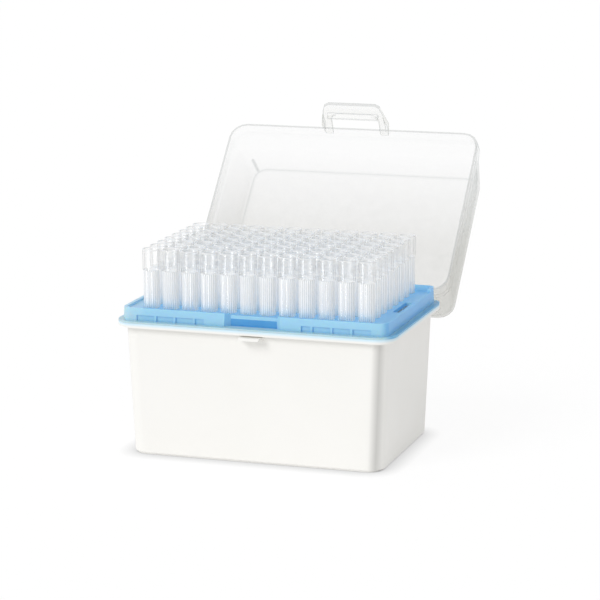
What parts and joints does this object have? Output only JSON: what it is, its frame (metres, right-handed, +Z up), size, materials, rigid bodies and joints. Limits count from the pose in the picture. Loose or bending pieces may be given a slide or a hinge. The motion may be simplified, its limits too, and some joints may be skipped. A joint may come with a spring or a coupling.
{
  "type": "box of pipette tips",
  "caption": "Laboratory box with a hinged clear lid standing open on a white base, and a blue tray holding a full grid of tapered pipette tips.",
  "frame": {"origin": "centre of the base's flat underside, midway between the sides and between the front and back walls", "axes": "+X runs to the right along a row of twelve tips, +Y to the back where the lid is hinged, +Z up"},
  "size_m": [0.1278, 0.1785, 0.1404],
  "materials": {
    "base_plastic": "satin opaque white polypropylene",
    "tray_plastic": "translucent light blue polypropylene",
    "tip_plastic": "natural translucent polypropylene",
    "lid_plastic": "clear polypropylene, faintly grey"
  },
  "bodies": {
    "box": {"base": "base_plastic", "tip_tray": "tray_plastic", "tip_A01": "tip_plastic", "tip_A02": "tip_plastic", "tip_A03": "tip_plastic", "tip_A04": "tip_plastic", "tip_A05": "tip_plastic", "tip_A06": "tip_plastic", "tip_A07": "tip_plastic", "tip_A08": "tip_plastic", "tip_A09": "tip_plastic", "tip_A10": "tip_plastic", "tip_A11": "tip_plastic", "tip_A12": "tip_plastic", "tip_B01": "tip_plastic", "tip_B12": "tip_plastic", "tip_C01": "tip_plastic", "tip_C12": "tip_plastic", "tip_D01": "tip_plastic", "tip_D12": "tip_plastic", "tip_E01": "tip_plastic", "tip_E12": "tip_plastic", "tip_F01": "tip_plastic", "tip_F12": "tip_plastic", "tip_G01": "tip_plastic", "tip_G12": "tip_plastic", "tip_H01": "tip_plastic", "tip_H02": "tip_plastic", "tip_H03": "tip_plastic", "tip_H04": "tip_plastic", "tip_H05": "tip_plastic", "tip_H06": "tip_plastic", "tip_H07": "tip_plastic", "tip_H08": "tip_plastic", "tip_H09": "tip_plastic", "tip_H10": "tip_plastic", "tip_H11": "tip_plastic", "tip_H12": "tip_plastic"},
    "lid": {"lid": "lid_plastic"},
    "latch": {"latch": "lid_plastic"}
  },
  "joints": [
    {"name": "lid_hinge", "type": "hinge", "parent": "box", "child": "lid", "pos_m": [0, 0.0492, 0.0604], "axis": [1, 0, 0], "range_deg": [0, 133]},
    {"name": "latch_flex", "type": "hinge", "parent": "lid", "child": "latch", "pos_m": [0, 0.11732, 0.12363], "axis": [-1, 0, 0], "range_deg": [0, 25], "stiffness_Nm_per_rad": 0.05}
  ]
}
